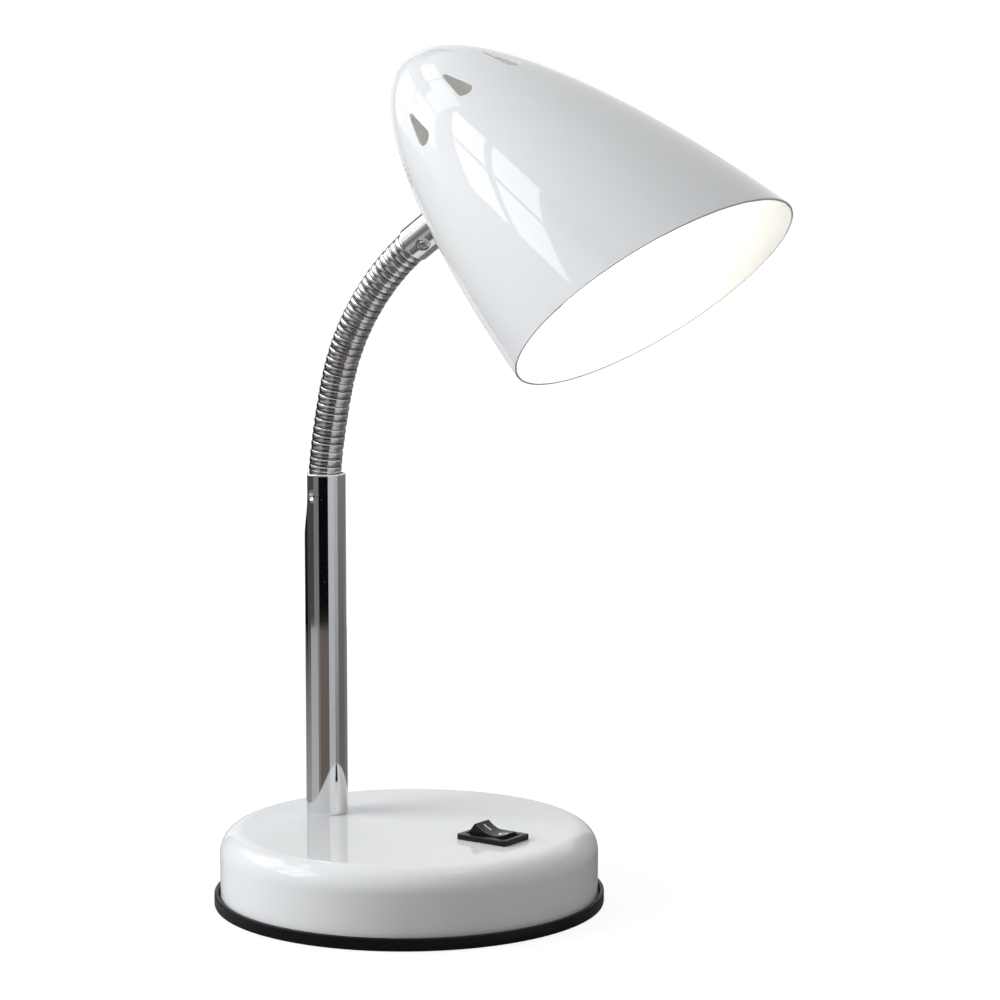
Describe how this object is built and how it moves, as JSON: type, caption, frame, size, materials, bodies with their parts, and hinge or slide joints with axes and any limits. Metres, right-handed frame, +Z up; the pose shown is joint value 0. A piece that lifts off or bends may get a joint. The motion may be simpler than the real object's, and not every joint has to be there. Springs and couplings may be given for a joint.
{
  "type": "gooseneck desk lamp",
  "caption": "Desk lamp with a round weighted base and rocker switch, a straight chrome stem, a flexible gooseneck and a white bell shade with vents.",
  "frame": {"origin": "centre of the foot pad's face on the desk", "axes": "+Z up; +X forward, from the stem towards the switch, the way the lamp leans over; the lamp is symmetric about y = 0 apart from its vents, punch mark and screws"},
  "size_m": [0.216, 0.14, 0.3044],
  "materials": {
    "white_enamel": "gloss white stove enamel",
    "tray_black": "satin black moulding",
    "pad_foam": "matt foam rubber",
    "cast_iron": "raw casting",
    "zinc_steel": "zinc plated",
    "chrome": "mirror chrome",
    "neck_chrome": "chromed strip",
    "brass": "plain brass",
    "switch_black": "fine satin black",
    "gland_black": "satin black",
    "block_white": "natural polyamide",
    "lead_white": "white PVC sheath",
    "lead_brown": "brown PVC core",
    "holder_beige": "beige thermoset",
    "bulb_white": "white thermal plastic",
    "bulb_opal": "opal globe",
    "cap_nickel": "nickel plated",
    "insulator_black": "black glass"
  },
  "bodies": {
    "base": {"foot_pad": "pad_foam", "base_tray": "tray_black", "base_shell": "white_enamel", "base_ballast": "cast_iron", "tray_screws": "zinc_steel", "cord_gland": "gland_black", "stem_tube": "chrome", "stem_plug": "zinc_steel", "stem_nipple": "brass", "stem_washer": "zinc_steel", "stem_lock_washer": "zinc_steel", "stem_nut": "zinc_steel", "terminal_block": "block_white", "terminal_inserts": "brass", "terminal_screws": "zinc_steel", "stem_lead": "lead_white", "switch_leads": "lead_brown", "switch_housing": "switch_black", "switch_terminals": "brass", "neck_root": "neck_chrome", "neck_lead": "lead_white"},
    "rocker": {"switch_rocker": "switch_black", "switch_plunger": "brass", "switch_spring": "zinc_steel"},
    "contact_lever": {"switch_contact": "brass"},
    "link_01": {"neck_link_01": "neck_chrome"},
    "link_02": {"neck_link_02": "neck_chrome"},
    "link_03": {"neck_link_03": "neck_chrome"},
    "link_04": {"neck_link_04": "neck_chrome"},
    "link_05": {"neck_link_05": "neck_chrome"},
    "link_06": {"neck_link_06": "neck_chrome"},
    "link_07": {"neck_link_07": "neck_chrome"},
    "link_08": {"neck_link_08": "neck_chrome"},
    "link_09": {"neck_link_09": "neck_chrome"},
    "link_10": {"neck_link_10": "neck_chrome"},
    "link_11": {"neck_link_11": "neck_chrome"},
    "head": {"neck_collar": "chrome", "collar_screw": "zinc_steel", "head_nipple": "brass", "head_washer": "zinc_steel", "head_lock_washer": "zinc_steel", "head_nut": "zinc_steel", "shade": "white_enamel", "holder_bracket": "zinc_steel", "holder_nipple": "brass", "holder_nut": "zinc_steel", "holder_cap": "holder_beige", "holder_skirt": "holder_beige", "holder_screw_shell": "brass", "holder_contact": "brass", "holder_terminals": "brass", "head_leads": "lead_white", "bulb_cap": "cap_nickel", "bulb_insulator": "insulator_black", "bulb_tip": "cap_nickel", "bulb_collar": "bulb_white", "bulb_globe": "bulb_opal"}
  },
  "joints": [
    {"name": "neck_bend_01", "type": "hinge", "parent": "base", "child": "link_01", "pos_m": [-0.0378, 0, 0.1529], "axis": [0, 1, 0], "range_deg": [-7, 5], "deforming": ["neck_lead"]},
    {"name": "neck_sway_02", "type": "hinge", "parent": "link_01", "child": "link_02", "pos_m": [-0.03675, 0, 0.16144], "axis": [0.989, 0, -0.1478], "range_deg": [-10, 10]},
    {"name": "neck_bend_03", "type": "hinge", "parent": "link_02", "child": "link_03", "pos_m": [-0.03526, 0, 0.16991], "axis": [0, 1, 0], "range_deg": [-7, 5]},
    {"name": "neck_bend_04", "type": "hinge", "parent": "link_03", "child": "link_04", "pos_m": [-0.03354, 0, 0.17833], "axis": [0, 1, 0], "range_deg": [-7, 5]},
    {"name": "neck_sway_05", "type": "hinge", "parent": "link_04", "child": "link_05", "pos_m": [-0.03154, 0, 0.18669], "axis": [0.9625, 0, -0.2714], "range_deg": [-10, 10]},
    {"name": "neck_bend_06", "type": "hinge", "parent": "link_05", "child": "link_06", "pos_m": [-0.02888, 0, 0.19487], "axis": [0, 1, 0], "range_deg": [-7, 5]},
    {"name": "neck_bend_07", "type": "hinge", "parent": "link_06", "child": "link_07", "pos_m": [-0.02538, 0, 0.20273], "axis": [0, 1, 0], "range_deg": [-7, 5]},
    {"name": "neck_sway_08", "type": "hinge", "parent": "link_07", "child": "link_08", "pos_m": [-0.02108, 0, 0.21018], "axis": [0.841, 0, -0.541], "range_deg": [-10, 10]},
    {"name": "neck_bend_09", "type": "hinge", "parent": "link_08", "child": "link_09", "pos_m": [-0.01609, 0, 0.21718], "axis": [0, 1, 0], "range_deg": [-7, 5]},
    {"name": "neck_bend_10", "type": "hinge", "parent": "link_09", "child": "link_10", "pos_m": [-0.0105, 0, 0.22372], "axis": [0, 1, 0], "range_deg": [-7, 5]},
    {"name": "neck_sway_11", "type": "hinge", "parent": "link_10", "child": "link_11", "pos_m": [-0.00437, 0, 0.22975], "axis": [0.6659, 0, -0.7461], "range_deg": [-10, 10]},
    {"name": "neck_bend_12", "type": "hinge", "parent": "link_11", "child": "head", "pos_m": [0.00232, 0, 0.23516], "axis": [0, 1, 0], "range_deg": [-7, 5]},
    {"name": "switch_press", "type": "hinge", "parent": "base", "child": "rocker", "pos_m": [0.037, 0, 0.0275], "axis": [0, -1, 0], "range_deg": [0, 26]},
    {"name": "contact_tilt", "type": "hinge", "parent": "base", "child": "contact_lever", "pos_m": [0.037, 0, 0.01835], "axis": [0, 1, 0], "range_deg": [0, 12.5]}
  ],
  "couplings": [
    {"joint": "contact_tilt", "follows": "switch_press", "ratio": 0.4615}
  ]
}
